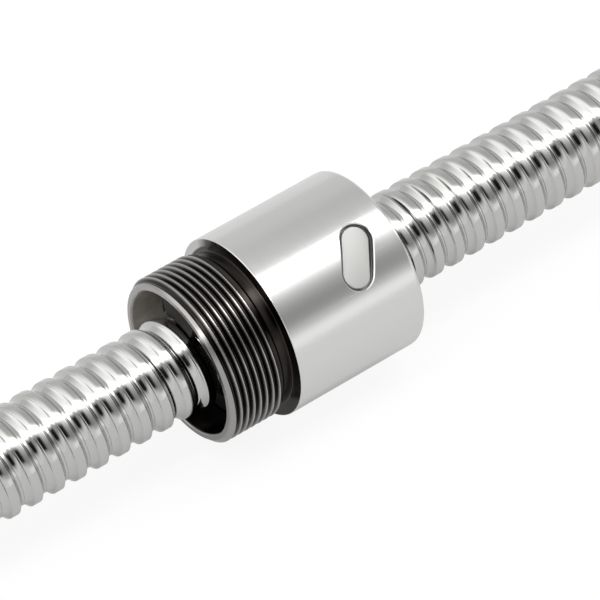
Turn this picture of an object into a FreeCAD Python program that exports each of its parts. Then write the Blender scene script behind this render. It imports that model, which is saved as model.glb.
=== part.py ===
import FreeCAD, Part
import math
import os
from FreeCAD import Vector

# Ball screw nut on its screw, as separate solids, in millimetres and degrees.
# +X runs along the screw, +Z is up, and the origin is on the screw's axis at
# the middle of the nut. Angles are measured from +Y towards +Z about +X.
# The nut is a turned steel sleeve. Its thread end looks towards -X. Three rings
# of balls run between a track in the sleeve and a track in the screw, and each
# ring is closed by a deflector, which lifts the balls over the land between two
# turns of the screw and sets them back one turn.

# Screw
screw_diameter = 19.7
screw_length = 188.0
screw_end_chamfer = 1.2
centre_hole_diameter = 4.0
centre_hole_depth = 3.0
lead = 5.0

# Balls and the pointed-arch track
ball_diameter = 3.175
ball_rise = 0.6            # ball centres above the screw's lands
track_ratio = 0.51         # radius of a track flank over the ball diameter
contact_angle = 45.0
ball_clearance = 0.09      # free space at the contact points
ball_spacing = 0.15        # least space between two balls of a ring, along its path
nut_land_rise = 0.35       # lands of the nut above the ball centres
circuits = 3
flank_chords = 3           # more of them make a finer and heavier track
mouth_past_land = 0.1      # a flank's last chord ends this far past a land
lid_past_land = 0.5

# Deflectors
first_deflector_angle = 122.5
crossing_half_angle = 29.0
channel_clearance = 0.12
lift_clearance = 0.1       # under a ball that crosses a land of the screw
channel_overrun = 14.0     # the channel's run along the track at each end
side_wall = 1.54
end_wall = 1.11
slot_fit = 0.05            # deflector in its slot, on every side
deflector_recess = 1.1     # flat top of a deflector below the nut's surface
top_step = 0.5             # the top is this much smaller than the slot
top_step_height = 1.5

# Sleeve, from the bore outwards
nut_length = 45.0
thread_length = 15.0
seal_width = 3.4           # from the screw's lands to the wall of the seal's seat
recess_step = 2.0
thread_wall = 2.25         # from the recess to the crests of the thread
shoulder_height = 1.5
undercut_width = 2.25
undercut_depth = 1.1
thread_chamfer = 1.0
rear_round = 1.0
edge_break = 0.3

# Wipers and their rings, the same at both ends
wiper_thickness = 3.0
wiper_clearance = 0.15     # wiper's bore from the screw's surface
wiper_fit = 0.05
ring_thickness = 1.0
ring_side_play = 0.05
ring_groove_depth = 0.75
ring_radial_play = 0.15
ring_width = 1.65
ring_gap = 6.0
seat_lip = 0.6             # from the seat's mouth to the ring's groove
rear_slot_wall = 0.3       # from the last slot to the rear seat
front_slot_wall = 1.57     # from the first slot to the front seat

# Sizes that follow from those above
screw_radius = screw_diameter / 2
ball_radius = ball_diameter / 2
pitch_radius = screw_radius + ball_rise
flank_radius = track_ratio * ball_diameter
flank_offset = (flank_radius - ball_radius) * math.sin(math.radians(contact_angle))
track_radius = flank_radius + ball_clearance
nut_land_radius = pitch_radius + nut_land_rise
seat_radius = screw_radius + seal_width
recess_radius = seat_radius + recess_step
thread_radius = recess_radius + thread_wall
body_radius = thread_radius + shoulder_height
channel_radius = ball_radius + channel_clearance
ring_groove_width = ring_thickness + 2 * ring_side_play
ring_groove_radius = seat_radius + ring_groove_depth
seat_depth = seat_lip + ring_groove_width + wiper_thickness

# Crossing of one land: an odd cubic that leaves and joins the track in line
crossing_rise = lead * crossing_half_angle / 360
crossing_reach = lead / 2 - crossing_rise
cubic_term = (crossing_reach + crossing_rise) / 2
linear_term = crossing_reach + cubic_term
groove_centre_radius = pitch_radius + flank_offset
groove_half_width = math.sqrt(track_radius ** 2 - (groove_centre_radius - screw_radius) ** 2) - flank_offset
crest_radius = screw_radius + ball_radius + lift_clearance

# Slot of a deflector, whose long axis follows the crossing at its middle
slot_tilt = math.degrees(math.atan2(linear_term, math.radians(crossing_half_angle) * crest_radius))
slot_width = 2 * (channel_radius + side_wall)
crossing_side = pitch_radius * math.sin(math.radians(crossing_half_angle))
slot_length = 2 * (math.hypot(crossing_side, crossing_reach) + end_wall)
slot_axial_reach = (slot_length - slot_width) / 2 * math.sin(math.radians(slot_tilt)) + slot_width / 2

# Places along the axis
front_x = -nut_length / 2
rear_x = nut_length / 2
shoulder_x = front_x + thread_length
rear_seat_x = rear_x - seat_depth
first_deflector_x = rear_seat_x - rear_slot_wall - slot_axial_reach
deflector_pitch = lead * (1 + 1 / circuits)
last_deflector_x = first_deflector_x - deflector_pitch * (circuits - 1)
front_seat_x = last_deflector_x - slot_axial_reach - front_slot_wall
front_mouth_x = front_seat_x - seat_depth
screw_half = screw_length / 2


def track_x(angle):
    """Axial place of the track's middle at an angle, on the turn nearest the nut's middle."""
    behind_first = lead * (circuits / 2)
    return first_deflector_x - behind_first + lead * (angle - first_deflector_angle) / 360


def along_x(shape):
    """Turn a solid that was made along +Z so that it lies along +X."""
    shape.rotate(Vector(0, 0, 0), Vector(0, 1, 0), 90)
    return shape


def turned(points):
    """Solid of revolution about the screw's axis, from (x, radius) points."""
    corners = [Vector(x, radius, 0) for x, radius in points]
    outline = Part.makePolygon(corners + corners[:1])
    return Part.Face(outline).revolve(Vector(0, 0, 0), Vector(1, 0, 0), 360)


def disc(x_from, x_to, radius):
    return Part.makeCylinder(radius, x_to - x_from, Vector(x_from, 0, 0), Vector(1, 0, 0))


def one_solid(shape):
    return max(shape.Solids, key=lambda solid: solid.Volume)


def track_section(outward, land_radius, radius, z):
    """Closed section of a pointed-arch track in the XZ plane.

    outward is 1 for the nut's track and -1 for the screw's. Each of the two
    flanks is a circle arc about a centre just beyond the middle, and they meet
    in a point at the bottom. The arcs are drawn as chords that touch them from
    outside, so a ball keeps its clearance, and the flanks run on to a lid.
    """
    centre = pitch_radius - outward * flank_offset
    mouth_radius = land_radius - outward * mouth_past_land
    lid_radius = land_radius - outward * lid_past_land
    bottom_turn = math.asin(flank_offset / radius)
    mouth_turn = math.acos(outward * (mouth_radius - centre) / radius)
    step = (mouth_turn - bottom_turn) / flank_chords
    corner_radius = radius / math.cos(step / 2)
    bottom = Vector(centre + outward * corner_radius * math.cos(bottom_turn), 0, z)

    def flank(side):
        corners = [bottom]
        for index in range(1, flank_chords + 1):
            turn = bottom_turn + step * index
            depth = centre + outward * corner_radius * math.cos(turn)
            corners.append(Vector(depth, 0, z + side * (corner_radius * math.sin(turn) - flank_offset)))
        run_on = corners[-1] - corners[-2]
        corners.append(corners[-1] + run_on * ((lid_radius - corners[-1].x) / run_on.x))
        return corners

    outline = flank(-1)[:0:-1] + flank(1)
    return Part.makePolygon(outline + outline[:1])


def helix_path(start, turns):
    """Right-hand helix in half turns, which the cuts handle better than whole turns."""
    half_turn = Part.makeHelix(lead, lead / 2, pitch_radius).Edges[0]
    edges = []
    for index in range(2 * turns):
        edge = half_turn.copy()
        edge.rotate(Vector(0, 0, 0), Vector(0, 0, 1), 180 * index)
        edge.translate(Vector(0, 0, start + lead / 2 * index))
        edges.append(edge)
    return Part.Wire(edges)


def track_sweep(outward, land_radius, radius, x_from, x_to):
    """The track's section swept along the screw's helix, a little past both ends."""
    helix_start_angle = -90
    start = track_x(helix_start_angle)
    start += lead * (math.floor((x_from - start) / lead) - 1)
    turns = math.ceil((x_to - start) / lead) + 1
    section = track_section(outward, land_radius, radius, start)
    return along_x(helix_path(start, turns).makePipeShell([section], True, True))


def screw_form(blank, x_from, x_to, grow):
    """Cut the screw's track into a blank, with the whole surface grown by a clearance."""
    groove = track_sweep(-1, screw_radius + grow, track_radius - grow, x_from, x_to)
    return one_solid(blank.cut(groove))


def screw_shaft():
    hole_radius = centre_hole_diameter / 2
    blank = turned([
        (centre_hole_depth - screw_half, 0),
        (-screw_half, hole_radius),
        (-screw_half, screw_radius - screw_end_chamfer),
        (screw_end_chamfer - screw_half, screw_radius),
        (screw_half - screw_end_chamfer, screw_radius),
        (screw_half, screw_radius - screw_end_chamfer),
        (screw_half, hole_radius),
        (screw_half - centre_hole_depth, 0),
    ])
    return screw_form(blank, -screw_half, screw_half, 0)


def crossing_place(turn):
    """Axial offset and radius of a ball at an angle from its deflector's middle."""
    share = turn / crossing_half_angle
    if abs(share) >= 1:
        side = -1 if turn > 0 else 1
        return side * lead / 2 + lead * turn / 360, pitch_radius
    offset = -linear_term * share + cubic_term * share ** 3
    from_track = lead / 2 - abs(lead * turn / 360 - offset)
    reach = ball_radius + lift_clearance
    beside_edge = max(groove_half_width - from_track, 0)
    lifted = screw_radius + math.sqrt(reach ** 2 - beside_edge ** 2)
    return offset, max(pitch_radius, lifted)


def path_point(turn):
    """Point on the first circuit's ball path, at an angle from its deflector's middle."""
    angle = math.radians(first_deflector_angle + turn)
    if turn <= 180:
        offset, radius = crossing_place(turn)
    else:
        offset, radius = crossing_place(turn - 360)
    x = first_deflector_x + offset
    return Vector(x, radius * math.cos(angle), radius * math.sin(angle))


def at_circuit(shape, number):
    """Copy of something made for the first circuit, at another circuit's place."""
    moved = shape.copy()
    moved.rotate(Vector(0, 0, 0), Vector(1, 0, 0), -360 / circuits * number)
    moved.translate(Vector(-deflector_pitch * number, 0, 0))
    return moved


def ball_circuit():
    """One closed ring of balls, spread evenly along the path."""
    step = 0.5
    turns = [step * index for index in range(int(360 / step) + 1)]
    points = [path_point(turn) for turn in turns]
    gone = [0.0]
    for before, after in zip(points, points[1:]):
        gone.append(gone[-1] + (after - before).Length)
    count = int(gone[-1] / (ball_diameter + ball_spacing))
    balls = []
    index = 0
    for ball in range(count):
        wanted = gone[-1] * ball / count
        while gone[index + 1] < wanted:
            index += 1
        part = (wanted - gone[index]) / (gone[index + 1] - gone[index])
        centre = points[index] + (points[index + 1] - points[index]) * part
        balls.append(Part.makeSphere(ball_radius, centre))
    return Part.makeCompound(balls)


def slot_prism(inset, low, high):
    """Upright prism with round ends over the first deflector's place, between two heights."""
    half_width = slot_width / 2 - inset
    half_run = (slot_length - slot_width) / 2
    right = Vector(half_run, 0, low)
    left = Vector(-half_run, 0, low)
    up = Vector(0, half_width, 0)
    out = Vector(half_width, 0, 0)
    outline = Part.Wire([
        Part.LineSegment(left - up, right - up).toShape(),
        Part.Arc(right - up, right + out, right + up).toShape(),
        Part.LineSegment(right + up, left + up).toShape(),
        Part.Arc(left + up, left - out, left - up).toShape(),
    ])
    prism = Part.Face(outline).extrude(Vector(0, 0, high - low))
    angle = math.radians(first_deflector_angle)
    tilt = math.radians(slot_tilt)
    radial = Vector(0, math.cos(angle), math.sin(angle))
    around = Vector(0, -math.sin(angle), math.cos(angle))
    long_axis = around * math.cos(tilt) - Vector(1, 0, 0) * math.sin(tilt)
    across = radial.cross(long_axis)
    turn = FreeCAD.Rotation(long_axis, across, radial, "ZXY")
    prism.Placement = FreeCAD.Placement(Vector(first_deflector_x, 0, 0), turn)
    return prism


def return_channel():
    """Round channel that leads the balls from one turn of the track to the turn before."""
    end_turn = crossing_half_angle + channel_overrun
    steps = 8
    turns = [end_turn * (2 * index / steps - 1) for index in range(steps + 1)]
    route = Part.BSplineCurve()
    route.interpolate([path_point(turn) for turn in turns])
    spine = route.toShape()
    start = spine.valueAt(spine.FirstParameter)
    heading = spine.tangentAt(spine.FirstParameter)
    inward = Vector(0, -start.y, -start.z)
    circle = Part.makeCircle(channel_radius)
    turn = FreeCAD.Rotation(inward, heading.cross(inward), heading, "ZXY")
    circle.Placement = FreeCAD.Placement(start, turn)
    return Part.Wire(spine).makePipeShell([Part.Wire(circle)], True, False)


def deflector():
    """Plug of one slot, with its lower face in line with the nut's lands."""
    top = body_radius - deflector_recess
    step = top - top_step_height
    foot = slot_prism(slot_fit, 0, step)
    head = slot_prism(top_step, step, top)
    bore = disc(-nut_length, nut_length, nut_land_radius)
    plug = foot.fuse(head).cut(bore).cut(return_channel())
    return one_solid(plug.removeSplitter())


def nut_blank():
    """Turned sleeve with its recess, the two seats and the ring grooves."""
    crest = thread_radius
    undercut = thread_radius - undercut_depth
    front_groove_x = front_mouth_x + seat_lip
    rear_groove_x = rear_x - seat_lip
    sleeve = turned([
        (front_x, recess_radius + edge_break),
        (front_x, crest - thread_chamfer),
        (front_x + thread_chamfer, crest),
        (shoulder_x - undercut_width - undercut_depth, crest),
        (shoulder_x - undercut_width, undercut),
        (shoulder_x, undercut),
        (shoulder_x, body_radius - edge_break),
        (shoulder_x + edge_break, body_radius),
        (rear_x, body_radius),
        (rear_x, seat_radius + edge_break),
        (rear_x - edge_break, seat_radius),
        (rear_groove_x, seat_radius),
        (rear_groove_x, ring_groove_radius),
        (rear_groove_x - ring_groove_width, ring_groove_radius),
        (rear_groove_x - ring_groove_width, seat_radius),
        (rear_seat_x, seat_radius),
        (rear_seat_x, nut_land_radius),
        (front_seat_x, nut_land_radius),
        (front_seat_x, seat_radius),
        (front_groove_x + ring_groove_width, seat_radius),
        (front_groove_x + ring_groove_width, ring_groove_radius),
        (front_groove_x, ring_groove_radius),
        (front_groove_x, seat_radius),
        (front_mouth_x, seat_radius),
        (front_mouth_x, recess_radius),
        (front_x + edge_break, recess_radius),
    ])
    outer_rim = [
        edge for edge in sleeve.Edges
        if abs(edge.BoundBox.XMin - rear_x) < 1e-6 and edge.BoundBox.YMax > body_radius - 1e-3
    ]
    return sleeve.makeFillet(rear_round, outer_rim[:1])


def nut_body():
    track = track_sweep(1, nut_land_radius, track_radius, front_seat_x, rear_seat_x)
    kept = disc(front_seat_x, rear_seat_x, seat_radius)
    body = nut_blank().cut(track.common(kept))
    slot = slot_prism(0, 0, 2 * body_radius)
    for number in range(circuits):
        body = body.cut(at_circuit(slot, number))
    return one_solid(body)


def wiper():
    """Wiper ring on the floor of the front seat, with a bore that follows the screw."""
    x_from = front_seat_x - wiper_thickness
    blank = disc(x_from, front_seat_x, seat_radius - wiper_fit)
    core = disc(x_from - lead, front_seat_x + lead, screw_radius + wiper_clearance)
    core = screw_form(core, x_from - lead, front_seat_x + lead, wiper_clearance)
    return one_solid(blank.cut(core))


def screwed_along(shape, distance):
    """Copy of a piece, moved along the screw and turned as its track turns."""
    moved = shape.copy()
    moved.rotate(Vector(0, 0, 0), Vector(1, 0, 0), 360 * distance / lead)
    moved.translate(Vector(distance, 0, 0))
    return moved


def retaining_ring(mouth_x, inward):
    """Open spring ring, a little loose in its groove."""
    x_from = mouth_x + inward * (seat_lip + ring_side_play)
    x_from = min(x_from, x_from + inward * ring_thickness)
    x_to = x_from + ring_thickness
    outer = ring_groove_radius - ring_radial_play
    ring = disc(x_from, x_to, outer).cut(disc(x_from, x_to, outer - ring_width))
    opening = Part.makeBox(ring_thickness, ring_gap, outer, Vector(x_from, -ring_gap / 2, -outer))
    return one_solid(ring.cut(opening))


def parts():
    yield "screw_shaft", screw_shaft()
    yield "nut_body", nut_body()
    plug = deflector()
    balls = ball_circuit()
    for number in range(circuits):
        yield f"deflector_{number + 1}", at_circuit(plug, number)
        yield f"ball_circuit_{number + 1}", at_circuit(balls, number)
    seal = wiper()
    yield "front_wiper", seal
    yield "rear_wiper", screwed_along(seal, rear_seat_x + wiper_thickness - front_seat_x)
    yield "front_retaining_ring", retaining_ring(front_mouth_x, 1)
    yield "rear_retaining_ring", retaining_ring(rear_x, -1)


os.makedirs("parts", exist_ok=True)
for name, shape in parts():
    shape.exportStep(f"parts/{name}.step")
    print(name, len(shape.Solids), "solids", round(shape.Volume, 2), "cubic mm")
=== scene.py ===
# %% [markdown]
# # A ball screw nut on its screw
# The real object is a hardened steel nut with a fine mounting thread at one end. It runs on a
# ground screw, on rings of balls that nobody sees. The solids of the nut already exist with their
# true sizes, and they are loaded here as a fixed frame. This lesson makes what a solid can't show
# well: the round arches of the screw's track, the mounting thread, small broken edges and the
# finishes. Every piece takes its place from the frame.

# %% Load the frame
import math
import bpy
import bmesh
from mathutils import Matrix, Vector


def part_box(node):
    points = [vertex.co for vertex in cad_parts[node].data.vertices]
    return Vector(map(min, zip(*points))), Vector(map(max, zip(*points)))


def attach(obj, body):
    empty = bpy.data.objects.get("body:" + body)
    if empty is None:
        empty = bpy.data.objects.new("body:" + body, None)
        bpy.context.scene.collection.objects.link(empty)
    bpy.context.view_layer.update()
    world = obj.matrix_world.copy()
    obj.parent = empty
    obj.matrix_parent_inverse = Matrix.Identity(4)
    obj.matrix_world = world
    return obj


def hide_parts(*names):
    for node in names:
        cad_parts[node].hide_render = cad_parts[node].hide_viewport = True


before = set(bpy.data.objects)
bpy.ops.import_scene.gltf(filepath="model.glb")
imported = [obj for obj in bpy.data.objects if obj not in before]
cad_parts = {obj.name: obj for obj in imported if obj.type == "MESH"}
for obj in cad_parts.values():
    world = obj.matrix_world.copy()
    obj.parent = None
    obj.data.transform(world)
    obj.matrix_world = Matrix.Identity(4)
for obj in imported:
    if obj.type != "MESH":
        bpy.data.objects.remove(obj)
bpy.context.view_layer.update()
mm = 0.001
print("nodes:", ", ".join(sorted(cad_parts)))

# %% [markdown]
# ## Sizes
# A screw drive has few sizes that matter: the lead, the form of the balls' track and the diameters
# of the screw's and the nut's lands. They are written here once, in millimetres, as a drawing would
# give them, and the places along the axis are read from the frame's nodes, so nothing has to be
# lined up by eye.

# %% Named sizes
lead = 5 * mm
pitch_radius = 10.45 * mm
flank_offset = 0.0224 * mm
track_radius = 1.709 * mm
track_middle_x = 3.387 * mm
screw_radius = 9.85 * mm
nut_land_radius = 10.8 * mm
body_radius = 19 * mm
crest_radius = 17.5 * mm
recess_radius = 15.25 * mm
seat_radius = 13.25 * mm
ring_groove_radius = 14 * mm
edge_break = 0.3 * mm
front_x, rear_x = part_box("nut_body")[0].x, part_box("nut_body")[1].x
shoulder_x = front_x + 15 * mm
front_seat_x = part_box("front_wiper")[1].x
rear_seat_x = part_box("rear_wiper")[0].x
screw_end_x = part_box("screw_shaft")[1].x
print("nut from", round(front_x / mm, 2), "to", round(rear_x / mm, 2), "mm")

# %% [markdown]
# ## Small helpers
# A turned part is half a section, swept once round the axis. The section is drawn as a line of
# points, and the spin operator makes the surface. With a small step along the axis at each turn
# step, the same operator makes a screw surface, and copies of one turn, shifted by the lead,
# make it as long as it has to be.

# %% Draw a line and wind it
weld = 0.001 * mm
fine_weld = 0.0005 * mm


def line(bm, points):
    """Edges through (x, radius) points, in the plane above the axis."""
    verts = [bm.verts.new((x, radius, 0)) for x, radius in points]
    for pair in zip(verts, verts[1:]):
        bm.edges.new(pair)
    return verts


def round_corners(bm, verts, size, segments):
    """Round the corners of a line where a tool or a stone would."""
    bmesh.ops.bevel(
        bm, geom=verts, offset=size, offset_type="OFFSET", affect="VERTICES",
        segments=segments, profile=0.5, material=-1,
    )


def screw_surface(bm, rise, turns, steps):
    """Sweep the line in bm along a right-hand helix, and repeat that turn along the axis."""
    bmesh.ops.spin(
        bm, geom=bm.verts[:] + bm.edges[:], cent=(0, 0, 0), axis=(1, 0, 0),
        dvec=(rise / steps, 0, 0), angle=math.tau, steps=steps, use_merge=False,
    )
    one_turn = bm.verts[:] + bm.edges[:] + bm.faces[:]
    for turn in range(1, turns):
        copy = bmesh.ops.duplicate(bm, geom=one_turn)["geom"]
        moved = [part for part in copy if isinstance(part, bmesh.types.BMVert)]
        bmesh.ops.translate(bm, verts=moved, vec=(rise * turn, 0, 0))
    bmesh.ops.remove_doubles(bm, verts=bm.verts[:], dist=weld)


# %% Cut across the axis, and shape the edge of a cut
def cut_across(bm, x, side=0):
    """Cut with a plane across the axis. With a side of -1 or 1, what lies past it goes."""
    bmesh.ops.bisect_plane(
        bm, geom=bm.verts[:] + bm.edges[:] + bm.faces[:], dist=0.1 * weld,
        plane_co=(x, 0, 0), plane_no=(side or 1, 0, 0), clear_outer=side != 0,
    )
    bmesh.ops.delete(bm, geom=[vert for vert in bm.verts if not vert.link_faces], context="VERTS")


def on_plane(edge, x):
    return all(abs(vert.co.x - x) < 2 * weld for vert in edge.verts)


def radius_of(vert):
    return math.hypot(vert.co.y, vert.co.z)


def set_radius(vert, radius):
    share = radius / radius_of(vert)
    vert.co.y *= share
    vert.co.z *= share


def grow_rim(bm, rim):
    """Extrude a ring of edges, and give the new ring and its vertices."""
    grown = bmesh.ops.extrude_edge_only(bm, edges=rim)["geom"]
    new_rim = [part for part in grown if isinstance(part, bmesh.types.BMEdge)]
    return new_rim, {vert for edge in new_rim for vert in edge.verts}


# %% Put a mesh into the scene
sharp_angle = 30


def placed(bm, name):
    """Make a bmesh an object at the origin."""
    mesh = bpy.data.meshes.new(name)
    bm.to_mesh(mesh)
    bm.free()
    thing = bpy.data.objects.new(name, mesh)
    bpy.context.scene.collection.objects.link(thing)
    return thing


def finished(bm, name, body, node):
    """Make a bmesh the shown piece that stands for a CAD node."""
    bmesh.ops.recalc_face_normals(bm, faces=bm.faces[:])
    piece = placed(bm, name)
    mesh = piece.data
    mesh.polygons.foreach_set("use_smooth", [True] * len(mesh.polygons))
    mesh.set_sharp_from_angle(angle=math.radians(sharp_angle))
    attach(piece, body)
    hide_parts(node)
    print(name, len(mesh.polygons), "faces")
    return piece


# %% [markdown]
# ## The track's section
# The balls touch the screw and the nut on two flanks, so each track is a pointed arch: two circle
# arcs whose centres lie a hair beyond the middle. One function draws both tracks, one turned
# towards the axis for the screw and one away from it for the nut. Where the arcs meet, the
# grinding wheel leaves a narrow relief that the balls never touch. The photograph shows it as a
# thin dark line along the bottom of each groove.

# %% Section of one turn of the track
relief_half_width = 0.09 * mm
relief_depth = 0.06 * mm


def track_line(outward, land_radius, flank_steps):
    """Points of one lead of a track's surface: land, arch, land. outward is 1 in the nut."""
    centre = pitch_radius - outward * flank_offset
    bottom_turn = math.asin((flank_offset + relief_half_width) / track_radius)
    mouth_turn = math.acos(outward * (land_radius - centre) / track_radius)
    flank = []
    for index in range(flank_steps + 1):
        turn = bottom_turn + (mouth_turn - bottom_turn) * index / flank_steps
        x = track_radius * math.sin(turn) - flank_offset
        flank.append((x, centre + outward * track_radius * math.cos(turn)))
    left = [(-x, radius) for x, radius in reversed(flank)]
    relief = [(0, centre + outward * (track_radius + relief_depth))]
    return [(-lead / 2, land_radius)] + left + relief + flank + [(lead / 2, land_radius)]


# %% [markdown]
# ## The screw
# A ground screw is its track's section wound along the rod, with the land edges broken by a stone.
# The solid has the track in a few flat strips. Here the arch has its true round flanks, which the
# long reflections on the polished steel need. A Screw modifier could wind it too, but the spin
# operator leaves a plain mesh that can be cut at once. The winding starts and ends past the rod,
# and is cut off at its ends, which are chamfered and get a centre hole.

# %% Model the screw
screw_steps = 88
screw_flank_steps = 6
land_edge = 0.16 * mm
end_chamfer = 1.2 * mm
centre_hole_radius = 2 * mm
centre_hole_depth = 3 * mm


def screw_mesh():
    bm = bmesh.new()
    first_x = track_middle_x - lead * math.ceil((track_middle_x + screw_end_x) / lead + 1)
    points = track_line(-1, screw_radius, screw_flank_steps)
    verts = line(bm, [(x + first_x, radius) for x, radius in points])
    round_corners(bm, [verts[1], verts[-2]], land_edge, segments=2)
    screw_surface(bm, lead, math.ceil(2 * screw_end_x / lead) + 3, screw_steps)
    for side in (-1, 1):
        cut_across(bm, side * (screw_end_x - end_chamfer))
        cut_across(bm, side * screw_end_x, side)
    for vert in bm.verts:
        past = abs(vert.co.x) - (screw_end_x - end_chamfer)
        if past > 0 and radius_of(vert) > screw_radius - past:
            set_radius(vert, screw_radius - past)
    for side in (-1, 1):
        rim = [edge for edge in bm.edges if edge.is_boundary and on_plane(edge, side * screw_end_x)]
        for radius, x in ((centre_hole_radius, screw_end_x), (0, screw_end_x - centre_hole_depth)):
            rim, ring = grow_rim(bm, rim)
            for vert in ring:
                set_radius(vert, radius)
                vert.co.x = side * x
    bmesh.ops.remove_doubles(bm, verts=bm.verts[:], dist=weld)
    return bm


screw = finished(screw_mesh(), "ground_screw", "screw", "screw_shaft")

# %% [markdown]
# ## The nut's sleeve
# The sleeve is turned, so most of it is one spun section: undercut, shoulder, ground body, rear
# face, the seats of the wipers with their ring grooves, and the recess in the thread end. A point
# of the section may also say how far its corner is rounded, and in how many segments.
#
# The mounting thread and the ball track are helical. A boolean could cut them from a plain ring,
# but it would leave slivers along the thread's crests. So they are screw surfaces of their own,
# cut off where they meet the turned part. There their edge is a circle, and bridge_loops joins it
# to the turned one.

# %% Section of the sleeve
thread_pitch = 1.5 * mm
thread_depth = 0.92 * mm
thread_chamfer = 1 * mm
undercut_radius = crest_radius - 1.1 * mm
undercut_x = shoulder_x - 2.25 * mm
thread_end_x = undercut_x - (crest_radius - thread_depth - undercut_radius)
undercut_round = 0.25 * mm
shoulder_round = 0.3 * mm
shoulder_break = 0.15 * mm
rear_round = 1 * mm
recess_round = 0.3 * mm
lip_round = 0.06 * mm
seat_lip = 0.6 * mm
ring_groove_width = 1.1 * mm
front_mouth_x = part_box("front_wiper")[0].x - ring_groove_width - seat_lip
join_gap = 0.03 * mm


def seat_line(mouth_x, floor_x):
    """Seat of a wiper from its mouth to its floor, with the groove of its ring."""
    inward = math.copysign(1, floor_x - mouth_x)
    groove_from = mouth_x + inward * seat_lip
    groove_to = groove_from + inward * ring_groove_width
    return [
        (groove_from, seat_radius),
        (groove_from, ring_groove_radius),
        (groove_to, ring_groove_radius),
        (groove_to, seat_radius),
        (floor_x, seat_radius),
    ]


def outside_line():
    return [
        (thread_end_x + join_gap, crest_radius - thread_depth - join_gap),
        (undercut_x, undercut_radius, undercut_round, 3),
        (shoulder_x, undercut_radius, shoulder_round, 3),
        (shoulder_x, body_radius - shoulder_break),
        (shoulder_x + shoulder_break, body_radius),
        (rear_x, body_radius, rear_round, 8),
        (rear_x, seat_radius + edge_break),
        (rear_x - edge_break, seat_radius, lip_round, 2),
    ] + seat_line(rear_x, rear_seat_x)


def recess_line():
    return seat_line(front_mouth_x, front_seat_x)[::-1] + [
        (front_mouth_x, seat_radius),
        (front_mouth_x, recess_radius, recess_round, 3),
        (front_x + edge_break, recess_radius, lip_round, 2),
        (front_x, recess_radius + edge_break),
        (front_x, crest_radius - thread_chamfer - join_gap),
    ]


print("section of the sleeve:", len(outside_line() + recess_line()), "points")

# %% Spin the turned part
sleeve_steps = 192


def spun_part(points):
    """Surface of revolution from a line whose points may have a corner's radius and segments."""
    bm = bmesh.new()
    verts = line(bm, [point[:2] for point in points])
    for vert, point in zip(verts, points):
        if len(point) > 2:
            round_corners(bm, [vert], *point[2:])
    bmesh.ops.spin(
        bm, geom=bm.verts[:] + bm.edges[:], cent=(0, 0, 0), axis=(1, 0, 0),
        angle=math.tau, steps=sleeve_steps, use_merge=True,
    )
    bmesh.ops.remove_doubles(bm, verts=bm.verts[:], dist=weld)
    return bm


# %% Wind the mounting thread and the ball track
thread_crest = 0.22 * mm
thread_root = 0.24 * mm
root_round = 0.08 * mm
crest_round = 0.04 * mm
turns_before_face = 1.5
bore_steps = 96
bore_flank_steps = 4


def thread_part():
    """The mounting thread, with its chamfered start and its end in the undercut."""
    bm = bmesh.new()
    flank = (thread_pitch - thread_crest - thread_root) / 2
    root_radius = crest_radius - thread_depth
    verts = line(bm, [
        (0, root_radius),
        (thread_root / 2, root_radius),
        (thread_root / 2 + flank, crest_radius),
        (thread_root / 2 + flank + thread_crest, crest_radius),
        (thread_pitch - thread_root / 2, root_radius),
        (thread_pitch, root_radius),
    ])
    round_corners(bm, [verts[1], verts[4]], root_round, segments=2)
    round_corners(bm, [verts[2], verts[3]], crest_round, segments=1)
    start_x = front_x - turns_before_face * thread_pitch
    bmesh.ops.translate(bm, verts=bm.verts[:], vec=(start_x, 0, 0))
    turns = math.ceil((thread_end_x - start_x) / thread_pitch) + 2
    screw_surface(bm, thread_pitch, turns, sleeve_steps)
    chamfer_end_x = front_x + thread_chamfer
    run_out_x = thread_end_x - thread_depth
    cut_across(bm, chamfer_end_x)
    cut_across(bm, run_out_x)
    cut_across(bm, front_x, -1)
    cut_across(bm, thread_end_x, 1)
    for vert in bm.verts:
        slope = min(vert.co.x - chamfer_end_x, run_out_x - vert.co.x)
        if slope < 0 and radius_of(vert) > crest_radius + slope:
            set_radius(vert, crest_radius + slope)
    return bm


def bore_part():
    """The nut's ball track between the two seats. Its line runs backwards, so it faces inwards."""
    bm = bmesh.new()
    first_x = track_middle_x - lead * math.ceil((track_middle_x - front_seat_x) / lead + 1)
    points = track_line(1, nut_land_radius, bore_flank_steps)
    line(bm, [(x + first_x, radius) for x, radius in reversed(points)])
    screw_surface(bm, lead, math.ceil((rear_seat_x - front_seat_x) / lead) + 3, bore_steps)
    cut_across(bm, front_seat_x, -1)
    cut_across(bm, rear_seat_x, 1)
    return bm


# %% Join the parts of the sleeve
rim_slack = 0.1 * mm


def joined(parts):
    """One bmesh from several."""
    whole = bmesh.new()
    for bm in parts:
        mesh = bpy.data.meshes.new("part")
        bm.to_mesh(mesh)
        bm.free()
        whole.from_mesh(mesh)
        bpy.data.meshes.remove(mesh)
    return whole


def bridge(bm, x, inner_radius, outer_radius):
    """Join the open edges at a place along the axis whose radius lies in a range."""
    def near(vert):
        beside = abs(vert.co.x - x) < rim_slack
        return beside and inner_radius - rim_slack < radius_of(vert) < outer_radius + rim_slack
    rims = [edge for edge in bm.edges if edge.is_boundary and all(near(vert) for vert in edge.verts)]
    bmesh.ops.bridge_loops(bm, edges=rims)


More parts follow.
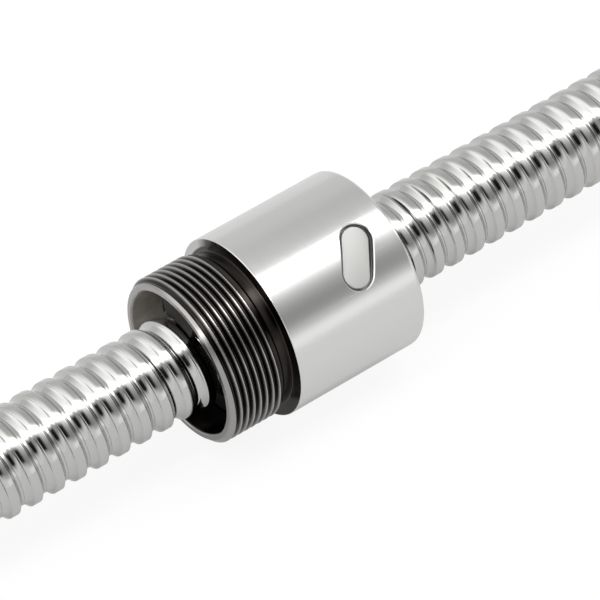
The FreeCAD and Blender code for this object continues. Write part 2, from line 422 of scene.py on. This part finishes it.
def sleeve_mesh():
    bm = joined((spun_part(outside_line()), spun_part(recess_line()), thread_part(), bore_part()))
    root_radius = crest_radius - thread_depth
    face_radius = crest_radius - thread_chamfer
    bridge(bm, thread_end_x, root_radius, root_radius)
    bridge(bm, front_x, face_radius, face_radius)
    bridge(bm, front_seat_x, nut_land_radius, seat_radius)
    bridge(bm, rear_seat_x, nut_land_radius, seat_radius)
    bmesh.ops.remove_doubles(bm, verts=bm.verts[:], dist=fine_weld)
    bmesh.ops.recalc_face_normals(bm, faces=bm.faces[:])
    open_edges = [edge for edge in bm.edges if not edge.is_manifold]
    print("sleeve:", len(open_edges), "open edges, volume", round(bm.calc_volume() / mm ** 3), "cubic mm")
    return bm


# %% [markdown]
# ## Deflector slots
# Each deflector sits in a milled slot with round ends, laid along the crossing of the balls. The
# slot runs through the round body and through the track, so a boolean difference cuts it, as the
# mill does. Sleeve and tool are closed, which lets the quick manifold solver do it. The tool opens
# out at the nut's surface, so the cut leaves the narrow bright chamfer that a deburring wheel
# makes. The tool's upper rings are laid on circles round the axis, so the chamfer has one width
# all the way round.

# %% Model the milling tools
circuits = 3
first_deflector_angle = 122.5
first_deflector_x = 12.589 * mm
deflector_pitch = lead * (1 + 1 / circuits)
slot_tilt = 29.82
slot_length = 13.186 * mm
slot_width = 6.495 * mm
slot_chamfer = 0.22 * mm
slot_end_steps = 20
slot_side_cuts = 10
tool_bottom = 5 * mm


def at_circuit(number):
    """Turn and shift from a deflector made over +Z at the origin to its place in the nut."""
    angle = math.radians(first_deflector_angle - 360 / circuits * number - 90)
    x = first_deflector_x - deflector_pitch * number
    return Matrix.Translation((x, 0, 0)) @ Matrix.Rotation(angle, 4, "X")


def slot_outline(bm, half_run):
    """Ring of edges with two round ends, whose centres lie half_run from the middle."""
    half_width = slot_width / 2
    ends = []
    for side in (-1, 1):
        start = bm.verts.new((side * half_width, side * half_run, 0))
        arc = bmesh.ops.spin(
            bm, geom=[start], cent=(0, side * half_run, 0), axis=(0, 0, 1),
            angle=math.pi, steps=slot_end_steps, use_merge=False,
        )
        last = next(part for part in arc["geom_last"] if isinstance(part, bmesh.types.BMVert))
        ends.append((start, last))
    sides = [bm.edges.new((ends[0][1], ends[1][0])), bm.edges.new((ends[1][1], ends[0][0]))]
    bmesh.ops.subdivide_edges(bm, edges=sides, cuts=slot_side_cuts)


def cutter_mesh(number):
    """Milling tool for one slot: upright walls, then a flare where it leaves the nut."""
    bm = bmesh.new()
    half_run = (slot_length - slot_width) / 2
    slot_outline(bm, half_run)
    bmesh.ops.translate(bm, verts=bm.verts[:], vec=(0, 0, tool_bottom))
    tilt = Matrix.Rotation(math.radians(-slot_tilt), 3, "Z")
    rim = bm.edges[:]
    for rise, growth in ((-slot_chamfer, 0), (slot_chamfer, 2 * slot_chamfer)):
        rim, ring = grow_rim(bm, rim)
        for vert in ring:
            middle = Vector((0, max(-half_run, min(half_run, vert.co.y)), vert.co.z))
            vert.co += (vert.co - middle).normalized() * growth
            vert.co.z = math.sqrt((body_radius + rise) ** 2 - (tilt @ vert.co).y ** 2)
    bmesh.ops.holes_fill(bm, edges=[edge for edge in bm.edges if edge.is_boundary], sides=0)
    bmesh.ops.triangulate(bm, faces=[face for face in bm.faces if len(face.verts) > 4])
    bmesh.ops.transform(bm, verts=bm.verts[:], matrix=at_circuit(number) @ tilt.to_4x4())
    bmesh.ops.recalc_face_normals(bm, faces=bm.faces[:])
    return bm


# %% Cut the slots
def cut_slots(bm):
    """The sleeve with its three slots, as a new bmesh."""
    uncut = placed(bm, "sleeve")
    tools = [placed(cutter_mesh(number), "tool") for number in range(circuits)]
    for tool in tools:
        cut = uncut.modifiers.new("slot", "BOOLEAN")
        cut.operation = "DIFFERENCE"
        cut.solver = "MANIFOLD"
        cut.object = tool
    bpy.context.view_layer.update()
    shape = uncut.evaluated_get(bpy.context.evaluated_depsgraph_get()).to_mesh()
    result = bmesh.new()
    result.from_mesh(shape)
    print("with slots:", round(result.calc_volume() / mm ** 3), "cubic mm")
    for used in tools + [uncut]:
        bpy.data.objects.remove(used)
    return result


sleeve = finished(cut_slots(sleeve_mesh()), "threaded_nut_sleeve", "nut", "nut_body")

# %% [markdown]
# ## Deflectors
# A deflector is a small sintered block with the balls' return channel in its lower side. It could
# be modelled again, but the solid is right, apart from its rims: they are knife sharp, and no real
# part is. So a copy of its mesh is merged, its flat faces are cleaned, and the rim of its top gets
# a small rounded edge.

# %% Deflectors with soft rims
deflector_top = 17.9 * mm
top_slack = 0.01 * mm
rim_round = 0.22 * mm
flat_angle = 0.5


def deflector_mesh(number):
    bm = bmesh.new()
    bm.from_mesh(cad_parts[f"deflector_{number + 1}"].data)
    bmesh.ops.remove_doubles(bm, verts=bm.verts[:], dist=fine_weld)
    bmesh.ops.transform(bm, verts=bm.verts[:], matrix=at_circuit(number).inverted())
    bmesh.ops.dissolve_limit(
        bm, angle_limit=math.radians(flat_angle), use_dissolve_boundaries=False,
        verts=bm.verts[:], edges=bm.edges[:], delimit=set(),
    )
    high = {vert for vert in bm.verts if vert.co.z > deflector_top - top_slack}
    rim = [edge for edge in bm.edges if high.issuperset(edge.verts)]
    bmesh.ops.bevel(
        bm, geom=rim, offset=rim_round, offset_type="OFFSET", affect="EDGES",
        segments=3, profile=0.5, material=-1, clamp_overlap=True,
    )
    bmesh.ops.transform(bm, verts=bm.verts[:], matrix=at_circuit(number))
    print("deflector", number + 1, "rim edges", len(rim))
    return bm


deflectors = []
for number in range(circuits):
    deflectors.append(finished(
        deflector_mesh(number), f"sintered_deflector_{number + 1}", "nut",
        f"deflector_{number + 1}",
    ))

# %% [markdown]
# ## Front wiper
# In the photograph the recess is filled with black, and only one short tongue of the screw's land
# shows in it. So a black collar is added to the wiper. It fills the recess round the screw, in front
# of its spring ring, and its face is stepped back where the tongue is. A boolean could cut the step,
# but the face's own points are enough: the collar is one closed section spun round the axis, and
# then its front is pushed back over part of the turn. The ring behind it is a copy of the solid.

# %% Section of the wiper's collar
collar_face_x = front_x + 0.7 * mm
collar_bore = screw_radius + 0.25 * mm
collar_radius = recess_radius - 0.35 * mm
collar_neck_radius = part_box("front_wiper")[1].z - 1.35 * mm
collar_round = 0.35 * mm
collar_step = 6.2 * mm
collar_steps = 180
face_reach = collar_round + 0.08 * mm
wiper_gap = 0.08 * mm


def collar_line():
    """Corners of the collar's section, from its bore at the front round to its bore behind."""
    neck_x = front_mouth_x - wiper_gap
    back_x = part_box("front_wiper")[0].x - wiper_gap
    return [
        (collar_face_x, collar_bore),
        (collar_face_x, collar_radius),
        (neck_x, collar_radius),
        (neck_x, collar_neck_radius),
        (back_x, collar_neck_radius),
        (back_x, collar_bore),
    ]


print("collar from", round(collar_line()[0][0] / mm, 2), "to", round(collar_line()[-1][0] / mm, 2), "mm")

# %% Model the front wiper
step_angles = (54, 66, 108, 118)


def step_back(angle):
    """How far the collar's face stands back at an angle, from 0 to 1."""
    fall_from, fall_to, rise_from, rise_to = step_angles
    if angle < fall_to:
        return max(0, min(1, (fall_to - angle) / (fall_to - fall_from)))
    return max(0, min(1, (angle - rise_from) / (rise_to - rise_from)))


def front_wiper_mesh():
    bm = bmesh.new()
    verts = line(bm, collar_line())
    bm.edges.new((verts[-1], verts[0]))
    round_corners(bm, verts[:2], collar_round, segments=3)
    bmesh.ops.spin(
        bm, geom=bm.verts[:] + bm.edges[:], cent=(0, 0, 0), axis=(1, 0, 0),
        angle=math.tau, steps=collar_steps, use_merge=True,
    )
    bmesh.ops.remove_doubles(bm, verts=bm.verts[:], dist=weld)
    for vert in bm.verts:
        if vert.co.x < collar_face_x + face_reach:
            angle = math.degrees(math.atan2(vert.co.z, vert.co.y))
            vert.co.x += collar_step * step_back(angle)
    bm.from_mesh(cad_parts["front_wiper"].data)
    bmesh.ops.remove_doubles(bm, verts=bm.verts[:], dist=weld)
    return bm


front_wiper = finished(front_wiper_mesh(), "moulded_front_wiper", "nut", "front_wiper")

# %% [markdown]
# ## Building materials
# Colours are written as they look on a screen and turned to linear light by one function. Another
# small function adds a node, sets it and links it, which keeps each material short to read. A Mix
# node is fed by the places of its sockets: 0 is the share, 6 and 7 are its two colours, and 2 and 3
# its two plain numbers.

# %% Colour and node helpers
def linear(hex_colour):
    """sRGB hex colour as linear red, green, blue and alpha."""
    parts = [int(hex_colour[place:place + 2], 16) / 255 for place in (1, 3, 5)]
    return [part / 12.92 if part <= 0.04045 else ((part + 0.055) / 1.055) ** 2.4 for part in parts] + [1]


def add_node(tree, kind, inputs=None, **settings):
    """Add a node. Each input is a value, or the output socket that feeds it."""
    node = tree.nodes.new(kind)
    for name, value in settings.items():
        setattr(node, name, value)
    for name, value in (inputs or {}).items():
        if isinstance(value, bpy.types.NodeSocket):
            tree.links.new(value, node.inputs[name])
        else:
            node.inputs[name].default_value = value
    return node


def empty_material(name):
    material = bpy.data.materials.new(name)
    material.use_nodes = True
    material.node_tree.nodes.clear()
    return material, material.node_tree


def give(material, pieces):
    for piece in pieces:
        piece.data.materials.clear()
        piece.data.materials.append(material)
    print(material.name, "on", ", ".join(piece.name for piece in pieces))


# %% [markdown]
# ## Marks of the tools
# Grinding and turning leave fine lines round the axis, and sintering leaves grains. Noise that is
# stretched by a line's width and length gives both. Real grinding lines are a few hundredths of a
# millimetre wide. They are drawn coarser here, or they wouldn't show at all. The gloss follows the
# same marks. Noise seldom leaves the range from 0.3 to 0.7, so the gloss is spread over that.

# %% Fine marks
noise_low, noise_high = 0.3, 0.7


def fine_lines(tree, along, around):
    """Noise stretched round the axis: along is a line's width and around its length, in mm."""
    place = add_node(tree, "ShaderNodeTexCoord").outputs["Object"]
    stretched = add_node(tree, "ShaderNodeMapping", {
        "Vector": place, "Scale": (1 / (along * mm), 1 / (around * mm), 1 / (around * mm)),
    })
    noise = add_node(tree, "ShaderNodeTexNoise", {
        "Vector": stretched.outputs["Vector"], "Scale": 1, "Detail": 3, "Roughness": 0.6,
    })
    return noise.outputs["Fac"]


# %% [markdown]
# ## Ground and blackened bearing steel
# The nut is hardened bearing steel. Hardening leaves a warm black scale, and only what is ground
# afterwards is bright: the body, the end faces with the chamfer of the thread, and the thread's
# crests, which stay a little greyer. At the far side the shoulder's face is bright too. Nearer, it is
# painted black like the scale, which is a painted dark reflection. One side of the recess wall is
# painted a lighter, matt grey, which is painted light. Each zone could have a material of its own,
# but some end in the middle of a face. So one material holds them all, and tells them apart by the
# distance from the axis, the place along it and the side. The eye gets soft bands drawn out along
# the bright body, and next to none in the black.

# %% Zones of the sleeve
# The scale fades out over scale_blend, up to just under the thread's crests.
scale_ends = crest_radius - 0.06 * mm
scale_blend = 0.34 * mm
edge_blend = 0.1 * mm
end_face_depth = 0.08 * mm
end_face_blend = 0.06 * mm
wall_depth = 0.2 * mm
face_depth = 0.03 * mm
# Places along Y where a zone of one side starts, and where it is full.
# Painted light: from the first place to the second, one side of the recess wall turns a lighter, matt grey.
painted_light_side = 7 * mm, 12 * mm
# Painted dark reflection: from the first place to the second, the shoulder's face turns black like the
# scale.
dark_reflection_side = 14 * mm, 11 * mm


def sleeve_zones(tree, place):
    """Shares from 0 to 1 of the zones, by name: zones that differ in finish, and zones of painted light and
    shade.
    """
    from_axis = add_node(tree, "ShaderNodeVectorMath", {
        0: place, 1: (0, 1, 1),
    }, operation="MULTIPLY").outputs[0]
    radius = add_node(tree, "ShaderNodeVectorMath", {0: from_axis}, operation="LENGTH").outputs["Value"]
    across = add_node(tree, "ShaderNodeSeparateXYZ", {0: place})
    x, y = across.outputs["X"], across.outputs["Y"]
    from_middle = add_node(tree, "ShaderNodeMath", {0: x}, operation="ABSOLUTE").outputs[0]
    end_face_from = rear_x - end_face_depth
    chamfer_end_x = front_x + thread_chamfer
    zones = {}
    for name, value, start, end in (
        ("outside", radius, scale_ends - scale_blend, scale_ends),
        ("body", x, shoulder_x - edge_blend / 2, shoulder_x + edge_blend / 2),
        ("end faces", from_middle, end_face_from, end_face_from + end_face_blend),
        ("before thread", x, chamfer_end_x + edge_blend, chamfer_end_x),
        ("past recess", radius, recess_radius + edge_blend, recess_radius + 2 * edge_blend),
        ("painted light side", y, *painted_light_side),
        ("dark reflection side", y, *dark_reflection_side),
    ):
        zones[name] = add_node(tree, "ShaderNodeMapRange", {
            "Value": value, "From Min": start, "From Max": end,
        }).outputs["Result"]
    for name, value, middle, reach in (
        ("recess wall", radius, recess_radius, wall_depth),
        ("shoulder face", x, shoulder_x, face_depth),
    ):
        zones[name] = add_node(tree, "ShaderNodeMath", {
            0: value, 1: middle, 2: reach,
        }, operation="COMPARE").outputs[0]
    for name, operation, first, second in (
        ("chamfer", "MULTIPLY", "before thread", "past recess"),
        # Painted light on one side of the recess wall.
        ("painted light on recess", "MULTIPLY", "recess wall", "painted light side"),
        # Painted dark reflection on the near side of the shoulder's face.
        ("painted dark reflection on shoulder", "MULTIPLY", "shoulder face", "dark reflection side"),
        ("bright faces", "MAXIMUM", "outside", "end faces"),
        ("bright", "MAXIMUM", "bright faces", "chamfer"),
        # The painted dark reflection on the shoulder is taken out of the bright steel, so it shows as scale.
        ("ground", "SUBTRACT", "bright", "painted dark reflection on shoulder"),
    ):
        zones[name] = add_node(tree, "ShaderNodeMath", {
            0: zones[first], 1: zones[second],
        }, operation=operation, use_clamp=True).outputs[0]
    return zones


# %% Material of the sleeve
patch_size = 3 * mm


def ground_and_blackened():
    material, tree = empty_material("ground_bearing_steel_with_hardening_scale")
    place = add_node(tree, "ShaderNodeTexCoord").outputs["Object"]
    zones = sleeve_zones(tree, place)
    lines = fine_lines(tree, along=0.16, around=7)
    patches = add_node(tree, "ShaderNodeTexNoise", {
        "Vector": place, "Scale": 1 / patch_size, "Detail": 4,
    }).outputs["Fac"]
    # The last pair of colours is painted light: a lighter, mottled grey for one side of the recess wall.
    thread_steel, body_steel, black_scale, painted_light_grey = [
        add_node(tree, "ShaderNodeMix", {
            0: pattern, 6: linear(dark), 7: linear(light),
        }, data_type="RGBA").outputs[2]
        for pattern, dark, light in (
            (lines, "#9A9896", "#A8A6A4"), (lines, "#D6D6D4", "#DCDCDA"),
            (patches, "#2C2927", "#383432"), (patches, "#857E78", "#C8C1BA"),
        )
    ]
    bare_steel, scale = [
        add_node(tree, "ShaderNodeMix", {0: zones[zone], 6: usual, 7: other}, data_type="RGBA").outputs[2]
        for zone, usual, other in (
            ("body", thread_steel, body_steel), ("painted light on recess", black_scale, painted_light_grey),
        )
    ]
    colour = add_node(tree, "ShaderNodeMix", {
        0: zones["ground"], 6: scale, 7: bare_steel,
    }, data_type="RGBA")
    scale_gloss, steel_gloss = [
        add_node(tree, "ShaderNodeMapRange", {
            "Value": pattern, "From Min": noise_low, "From Max": noise_high,
            "To Min": smooth, "To Max": rough,
        }).outputs["Result"]
        for pattern, smooth, rough in ((patches, 0.15, 0.22), (lines, 0.18, 0.23))
    ]
    roughness = add_node(tree, "ShaderNodeMix", {0: zones["ground"], 2: scale_gloss, 3: steel_gloss})
    # Where the recess wall has painted light, it is matt and not metal.
    metal = add_node(tree, "ShaderNodeMath", {0: 1, 1: zones["painted light on recess"]}, operation="SUBTRACT")
    bump = add_node(tree, "ShaderNodeBump", {"Height": lines, "Strength": 0.06, "Distance": 0.01 * mm})
    shader = add_node(tree, "ShaderNodeBsdfPrincipled", {
        "Base Color": colour.outputs[2], "Metallic": metal.outputs[0], "Roughness": roughness.outputs[0],
        "Normal": bump.outputs["Normal"],
    })
    add_node(tree, "ShaderNodeOutputMaterial", {"Surface": shader.outputs["BSDF"]})
    return material


give(ground_and_blackened(), [sleeve])

# %% [markdown]
# ## Plainer steels
# The other steel pieces share one recipe, and differ in colour, in how sharply they mirror and in
# the size and direction of their marks. The screw is ground and polished, so it mirrors the room in
# crisp bands. The deflectors are sintered and tumbled, which looks an even, pale and matt grey. The
# balls are lapped to a clean mirror, and the spring rings are oiled black, with a dull sheen.

# %% Materials of the steel pieces
def steel(name, dark, light, smooth, rough, mark_width, mark_length, bump_strength):
    """Steel whose colour and gloss follow fine marks of a given width and length, in mm."""
    material, tree = empty_material(name)
    marks = fine_lines(tree, mark_width, mark_length)
    colour = add_node(tree, "ShaderNodeMix", {
        0: marks, 6: linear(dark), 7: linear(light),
    }, data_type="RGBA")
    roughness = add_node(tree, "ShaderNodeMapRange", {
        "Value": marks, "From Min": noise_low, "From Max": noise_high, "To Min": smooth, "To Max": rough,
    })
    bump = add_node(tree, "ShaderNodeBump", {
        "Height": marks, "Strength": bump_strength, "Distance": 0.01 * mm,
    })
    shader = add_node(tree, "ShaderNodeBsdfPrincipled", {
        "Base Color": colour.outputs[2], "Metallic": 1, "Roughness": roughness.outputs["Result"],
        "Normal": bump.outputs["Normal"],
    })
    add_node(tree, "ShaderNodeOutputMaterial", {"Surface": shader.outputs["BSDF"]})
    return material


ball_nodes = [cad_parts[f"ball_circuit_{number + 1}"] for number in range(circuits)]
ring_nodes = [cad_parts["front_retaining_ring"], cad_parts["rear_retaining_ring"]]
give(steel(
    "ground_and_polished_screw_steel", "#BEBEBC", "#CACAC8", smooth=0.09, rough=0.13,
    mark_width=0.2, mark_length=9, bump_strength=0.05,
), [screw])
give(steel(
    "tumbled_sintered_steel", "#BDBDBB", "#CDCDCB", smooth=0.56, rough=0.66,
    mark_width=0.12, mark_length=0.12, bump_strength=0.25,
), deflectors)
give(steel(
    "lapped_chrome_steel", "#D8D8D8", "#DEDEDE", smooth=0.04, rough=0.06,
    mark_width=0.5, mark_length=0.5, bump_strength=0,
), ball_nodes)
give(steel(
    "oiled_black_spring_steel", "#2B2826", "#45403C", smooth=0.28, rough=0.4,
    mark_width=0.3, mark_length=2, bump_strength=0.1,
), ring_nodes)

# %% [markdown]
# ## Moulded wipers
# The wipers are black moulded acetal that follows the screw's form and keeps dirt out. It has a
# fine, even grain from the tool, and mirrors so little that the recess looks like a black hole.

# %% Material of the wipers
def moulded_plastic(name, colour, grain, smooth, rough):
    """Dull plastic with the grain of its tool, whose size is in mm."""
    material, tree = empty_material(name)
    place = add_node(tree, "ShaderNodeTexCoord").outputs["Object"]
    grains = add_node(tree, "ShaderNodeTexNoise", {
        "Vector": place, "Scale": 1 / (grain * mm), "Detail": 2,
    }).outputs["Fac"]
    roughness = add_node(tree, "ShaderNodeMapRange", {
        "Value": grains, "From Min": noise_low, "From Max": noise_high, "To Min": smooth, "To Max": rough,
    })
    bump = add_node(tree, "ShaderNodeBump", {"Height": grains, "Strength": 0.2, "Distance": 0.02 * mm})
    shader = add_node(tree, "ShaderNodeBsdfPrincipled", {
        "Base Color": linear(colour), "Roughness": roughness.outputs["Result"],
        "Specular IOR Level": 0.2, "Normal": bump.outputs["Normal"],
    })
    add_node(tree, "ShaderNodeOutputMaterial", {"Surface": shader.outputs["BSDF"]})
    return material


give(
    moulded_plastic("black_moulded_acetal", "#151110", grain=0.3, smooth=0.5, rough=0.62),
    [front_wiper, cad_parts["rear_wiper"]],
)

# %% [markdown]
# ## Studio
# The photograph is a product shot on white. Its reflections run along the nut as bands. Area lamps
# could make them, but each would have to be shifted until its mirror image lies right. So the
# light is drawn as bands too: the world's brightness changes with the angle round the screw's
# axis. There are three sets of bands, and the direction along the axis tells which one is seen.
# The front card is mirrored by faces that look to the thread end. The gap where the camera stands
# is dark for a part of the turn, and gives the black spots in the screw's grooves. The rear card is
# what the body mirrors. All three have the same bright box overhead, which runs along the whole
# object as one white band.

# %% Brightness round the axis
front_card = (
    (-180, 0.95), (-90, 0.75), (-20, 0.8), (0, 1.3), (20, 1.6), (86, 1.6), (89, 4.5), (101, 4.5),
    (105, 0.9), (115, 0.5), (135, 0.36), (150, 0.6), (165, 0.95), (180, 1.0),
)
camera_gap = (
    (-180, 0.95), (-90, 0.65), (-50, 0.72), (20, 0.76), (35, 1.0), (50, 1.25), (70, 1.5), (86, 1.8),
    (89, 4.5), (101, 4.5), (107, 1.8), (113, 0.5), (119, 0.01), (146, 0.01), (154, 0.6), (162, 0.9),
    (180, 0.98),
)
rear_card = (
    (-180, 1.0), (-90, 0.65), (-50, 0.9), (-20, 0.76), (25, 0.74), (45, 0.62), (65, 0.66), (78, 0.74),
    (86, 1.5), (89, 4.5), (101, 4.5), (106, 1.6), (115, 0.98), (126, 0.58), (138, 0.38), (150, 0.37),
    (161, 0.66), (169, 1.2), (180, 1.12),
)


def band_ramp(tree, share, levels):
    """Brightness over the share of a turn, from (degrees, level) pairs."""
    ramp = add_node(tree, "ShaderNodeValToRGB", {"Fac": share})
    stops = ramp.color_ramp.elements
    while len(stops) < len(levels):
        stops.new(0.5)
    for stop, (degrees, level) in zip(stops, levels):
        stop.position = (degrees + 180) / 360
        stop.color = (level, level, level, 1)
    return ramp.outputs["Color"]


print("stops of the bands:", len(front_card), len(camera_gap), len(rear_card))

# %% World
# Directions along X where the next set of bands starts, and where it is full.
gap_starts = -0.75, -0.4
rear_starts = 0.18, 0.4
white = 1, 1, 1, 1


def studio_world():
    """Bands for the pieces to mirror. The camera sees plain white."""
    world = bpy.data.worlds.new("studio")
    world.use_nodes = True
    tree = world.node_tree
    tree.nodes.clear()
    direction = add_node(tree, "ShaderNodeTexCoord").outputs["Generated"]
    parts = add_node(tree, "ShaderNodeSeparateXYZ", {0: direction})
    angle = add_node(tree, "ShaderNodeMath", {
        0: parts.outputs["Z"], 1: parts.outputs["Y"],
    }, operation="ARCTAN2")
    share = add_node(tree, "ShaderNodeMapRange", {
        "Value": angle.outputs[0], "From Min": -math.pi, "From Max": math.pi,
    }).outputs["Result"]
    seen = band_ramp(tree, share, front_card)
    for levels, (start, end) in ((camera_gap, gap_starts), (rear_card, rear_starts)):
        reached = add_node(tree, "ShaderNodeMapRange", {
            "Value": parts.outputs["X"], "From Min": start, "From Max": end,
        }, interpolation_type="SMOOTHSTEP").outputs["Result"]
        seen = add_node(tree, "ShaderNodeMix", {
            0: reached, 6: seen, 7: band_ramp(tree, share, levels),
        }, data_type="RGBA").outputs[2]
    by_camera = add_node(tree, "ShaderNodeLightPath").outputs["Is Camera Ray"]
    seen = add_node(tree, "ShaderNodeMix", {0: by_camera, 6: seen, 7: white}, data_type="RGBA").outputs[2]
    background = add_node(tree, "ShaderNodeBackground", {"Color": seen, "Strength": 1})
    add_node(tree, "ShaderNodeOutputWorld", {"Surface": background.outputs["Background"]})
    bpy.context.scene.world = world


studio_world()
bpy.context.scene.view_settings.view_transform = "Standard"

# %% [markdown]
# ## Floor
# White paper lies under the body. It keeps a soft shadow of the object, but the camera sees it as
# nearly plain white, and the steel mirrors it as an even light grey. A material tells the three
# apart by the kind of ray that reaches it, so no lamp has to be turned up for a white floor.

# %% Floor
floor_half_size = 6
floor_gap = 0.2 * mm
white_to_camera = 0.9
white_in_mirrors = 0.6
mirrored_glow = 0.6


def white_paper():
    material, tree = empty_material("white_paper")
    rays = add_node(tree, "ShaderNodeLightPath").outputs
    shares = [
        add_node(tree, "ShaderNodeMath", {0: rays[ray], 1: share}, operation="MULTIPLY").outputs[0]
        for ray, share in (("Is Camera Ray", white_to_camera), ("Is Glossy Ray", white_in_mirrors))
    ]
    glowing = add_node(tree, "ShaderNodeMath", {0: shares[0], 1: shares[1]}, operation="MAXIMUM")
    strength = add_node(tree, "ShaderNodeMapRange", {
        "Value": rays["Is Camera Ray"], "To Min": mirrored_glow, "To Max": 1,
    })
    glow = add_node(tree, "ShaderNodeEmission", {"Color": white, "Strength": strength.outputs["Result"]})
    paper = add_node(tree, "ShaderNodeBsdfDiffuse", {"Color": linear("#F2F2F2")})
    mixed = add_node(tree, "ShaderNodeMixShader", {
        0: glowing.outputs[0], 1: paper.outputs[0], 2: glow.outputs[0],
    })
    add_node(tree, "ShaderNodeOutputMaterial", {"Surface": mixed.outputs[0]})
    return material


def paper_floor():
    bm = bmesh.new()
    bmesh.ops.create_grid(bm, x_segments=1, y_segments=1, size=floor_half_size)
    bmesh.ops.translate(bm, verts=bm.verts[:], vec=(0, 0, -body_radius - floor_gap))
    floor = placed(bm, "floor")
    return floor


give(white_paper(), [paper_floor()])

# %% [markdown]
# ## Camera
# The camera stands where the photographer's did, high on the side of the thread end, far away and
# with a long lens, which keeps the sleeve's edges nearly parallel. Its place could be found by eye,
# but it was worked out from the object's edges in the photograph, with the lead held at its size.

# %% Camera
camera_azimuth = 37.08
camera_elevation = 48.52
camera_distance = 872.5 * mm
camera_target = Vector((5.97, -0.77, -0.54)) * mm
focal_length = 271.9


def photograph_camera():
    around = math.radians(camera_azimuth)
    above = math.radians(camera_elevation)
    view = Vector((math.sin(around) * math.cos(above), math.cos(around) * math.cos(above), -math.sin(above)))
    data = bpy.data.cameras.new("camera")
    data.lens = focal_length
    camera = bpy.data.objects.new("camera", data)
    camera.location = camera_target - view * camera_distance
    camera.rotation_euler = view.to_track_quat("-Z", "Y").to_euler()
    bpy.context.scene.collection.objects.link(camera)
    bpy.context.scene.camera = camera
    print("camera at", [round(part / mm) for part in camera.location], "mm")


photograph_camera()
